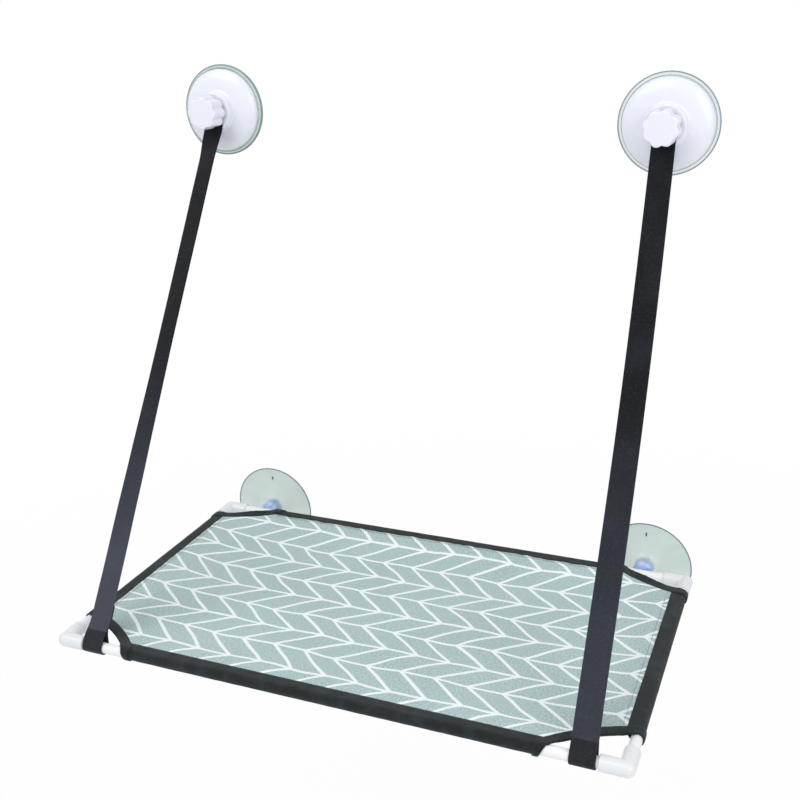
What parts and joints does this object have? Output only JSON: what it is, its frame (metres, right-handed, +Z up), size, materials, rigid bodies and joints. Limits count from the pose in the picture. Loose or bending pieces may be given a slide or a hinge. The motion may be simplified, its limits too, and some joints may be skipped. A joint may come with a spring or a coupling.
{
  "type": "window cat perch",
  "caption": "Fabric cat bed on a tube frame that hangs from a window pane on suction cups and two webbing straps, and folds up.",
  "frame": {"origin": "on the pane, midway between the side tubes and level with the rear tube", "axes": "+Z up, +Y out of the room through the pane, +X to the right for someone who faces the window"},
  "size_m": [0.62, 0.3665, 0.609],
  "materials": {
    "white_tube": "satin",
    "white_plastic": "gloss",
    "printed_fabric": "matte",
    "black_fabric": "matte",
    "black_webbing": "matte",
    "clear_rubber": "gloss",
    "stud_steel": "satin",
    "insert_brass": "satin"
  },
  "bodies": {
    "window_side": {"rear_rail": "white_tube", "strap_left": "black_webbing", "strap_right": "black_webbing"},
    "bed": {"front_rail": "white_tube", "left_rail": "white_tube", "right_rail": "white_tube", "elbow_rear_left": "white_plastic", "elbow_rear_right": "white_plastic", "elbow_front_left": "white_plastic", "elbow_front_right": "white_plastic", "panel": "printed_fabric", "sleeve_rear": "black_fabric", "sleeve_front": "black_fabric", "sleeve_left": "black_fabric", "sleeve_right": "black_fabric", "binding_rear_left": "black_fabric", "binding_rear_right": "black_fabric", "binding_front_left": "black_fabric", "binding_front_right": "black_fabric"},
    "lower_left": {"lower_cup_left": "clear_rubber"},
    "upper_left": {"upper_disc_left": "clear_rubber", "cup_cover_left": "white_plastic", "stud_left": "stud_steel"},
    "clamp_left": {"washer_left": "stud_steel"},
    "grip_left": {"knob_left": "white_plastic", "knob_insert_left": "insert_brass"},
    "lower_right": {"lower_cup_right": "clear_rubber"},
    "upper_right": {"upper_disc_right": "clear_rubber", "cup_cover_right": "white_plastic", "stud_right": "stud_steel"},
    "clamp_right": {"washer_right": "stud_steel"},
    "grip_right": {"knob_right": "white_plastic", "knob_insert_right": "insert_brass"}
  },
  "joints": [
    {"name": "bed_fold", "type": "hinge", "parent": "window_side", "child": "bed", "pos_m": [0, -0.024, 0], "axis": [-1, 0, 0], "range_deg": [0, 80], "deforming": ["strap_left", "strap_right"]},
    {"name": "lower_cup_turn_left", "type": "hinge", "parent": "window_side", "child": "lower_left", "pos_m": [-0.24, -0.024, 0], "axis": [0, 1, 0], "continuous": true},
    {"name": "upper_cup_turn_left", "type": "hinge", "parent": "window_side", "child": "upper_left", "pos_m": [-0.269, -0.026, 0.505], "axis": [0, 1, 0], "continuous": true},
    {"name": "washer_travel_left", "type": "slide", "parent": "upper_left", "child": "clamp_left", "axis": [0, -1, 0], "range_m": [0, 0.006]},
    {"name": "knob_turn_left", "type": "hinge", "parent": "clamp_left", "child": "grip_left", "pos_m": [-0.269, -0.029, 0.505], "axis": [0, -1, 0], "range_deg": [0, 1080]},
    {"name": "lower_cup_turn_right", "type": "hinge", "parent": "window_side", "child": "lower_right", "pos_m": [0.243, -0.024, 0], "axis": [0, 1, 0], "continuous": true},
    {"name": "upper_cup_turn_right", "type": "hinge", "parent": "window_side", "child": "upper_right", "pos_m": [0.2413, -0.026, 0.495], "axis": [0, 1, 0], "continuous": true},
    {"name": "washer_travel_right", "type": "slide", "parent": "upper_right", "child": "clamp_right", "axis": [0, -1, 0], "range_m": [0, 0.006]},
    {"name": "knob_turn_right", "type": "hinge", "parent": "clamp_right", "child": "grip_right", "pos_m": [0.2413, -0.029, 0.495], "axis": [0, -1, 0], "range_deg": [0, 1080]}
  ],
  "couplings": [
    {"joint": "knob_turn_left", "follows": "washer_travel_left", "rad_per_m": 3141.6},
    {"joint": "knob_turn_right", "follows": "washer_travel_right", "rad_per_m": 3141.6}
  ]
}
